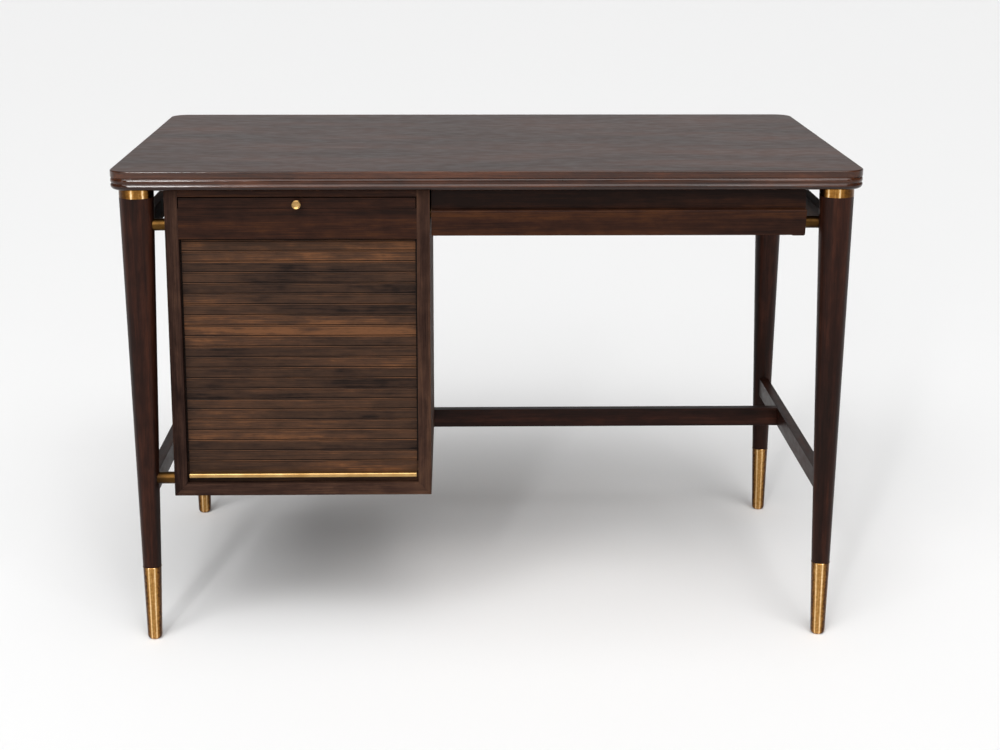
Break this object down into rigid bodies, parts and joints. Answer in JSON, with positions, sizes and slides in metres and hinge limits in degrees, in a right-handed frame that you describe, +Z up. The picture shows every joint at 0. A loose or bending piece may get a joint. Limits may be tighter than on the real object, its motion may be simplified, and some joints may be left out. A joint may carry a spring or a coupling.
{
  "type": "tambour desk",
  "caption": "Writing desk on round tapered legs with brass feet: a pedestal behind a lift-up tambour, a pull-out writing slide, and a wide shallow pencil drawer.",
  "frame": {"origin": "on the floor, under the middle of the top", "axes": "+Z up, +X along the desk's length to the drawer side, front towards -Y"},
  "size_m": [1.143, 0.673, 0.762],
  "materials": {
    "top_wood": "dark stained, satin lacquer, worn to a greyish sheen",
    "leg_wood": "dark stained, satin lacquer",
    "case_wood": "dark stained, satin lacquer",
    "slat_wood": "dark stained, satin lacquer, uneven from slat to slat",
    "inner_wood": "bare, waxed",
    "brass": "aged, hand polished",
    "screw_steel": "plain steel",
    "canvas": "glued woven canvas"
  },
  "bodies": {
    "desk": {"tabletop": "top_wood", "top_edge_moulding": "top_wood", "leg_front_left": "leg_wood", "leg_rear_left": "leg_wood", "leg_front_right": "leg_wood", "leg_rear_right": "leg_wood", "collar_front_left": "brass", "collar_rear_left": "brass", "collar_front_right": "brass", "collar_rear_right": "brass", "sabot_front_left": "brass", "sabot_rear_left": "brass", "sabot_front_right": "brass", "sabot_rear_right": "brass", "side_rail_left": "leg_wood", "side_rail_right": "leg_wood", "side_stretcher_left": "leg_wood", "side_stretcher_right": "leg_wood", "cross_stretcher": "leg_wood", "spacer_left_front": "brass", "spacer_left_lower": "brass", "spacer_left_rear": "brass", "spacer_right_front": "brass", "spacer_right_rear": "brass", "pedestal_side_left": "case_wood", "pedestal_side_right": "case_wood", "pedestal_bottom": "case_wood", "pedestal_top": "case_wood", "front_rail": "case_wood", "drawer_case_end": "case_wood", "pedestal_back": "case_wood", "drawer_case_back": "case_wood", "slide_runner_left": "inner_wood", "slide_runner_right": "inner_wood", "drawer_runner_left": "inner_wood", "drawer_runner_right": "inner_wood", "shelf": "case_wood", "shelf_pins": "brass", "top_screws": "screw_steel", "stretcher_screws": "screw_steel", "tambour_slats": "slat_wood", "tambour_canvas": "canvas"},
    "writing_slide": {"writing_slide": "case_wood", "slide_edge": "case_wood", "slide_stop_pins": "inner_wood", "slide_knob": "brass"},
    "tambour": {"tambour_lead_rail": "slat_wood", "tambour_pull": "brass", "pull_screws": "brass"},
    "pencil_drawer": {"drawer_front": "case_wood", "drawer_side_left": "inner_wood", "drawer_side_right": "inner_wood", "drawer_back": "inner_wood", "drawer_bottom": "inner_wood"}
  },
  "joints": [
    {"name": "slide_pull_out", "type": "slide", "parent": "desk", "child": "writing_slide", "axis": [0, -1, 0], "range_m": [0, 0.234]},
    {"name": "tambour_lift", "type": "slide", "parent": "desk", "child": "tambour", "axis": [0, 0, 1], "range_m": [0, 0.356], "deforming": ["tambour_slats", "tambour_canvas"]},
    {"name": "drawer_pull_out", "type": "slide", "parent": "desk", "child": "pencil_drawer", "axis": [0, -1, 0], "range_m": [0, 0.26]}
  ]
}
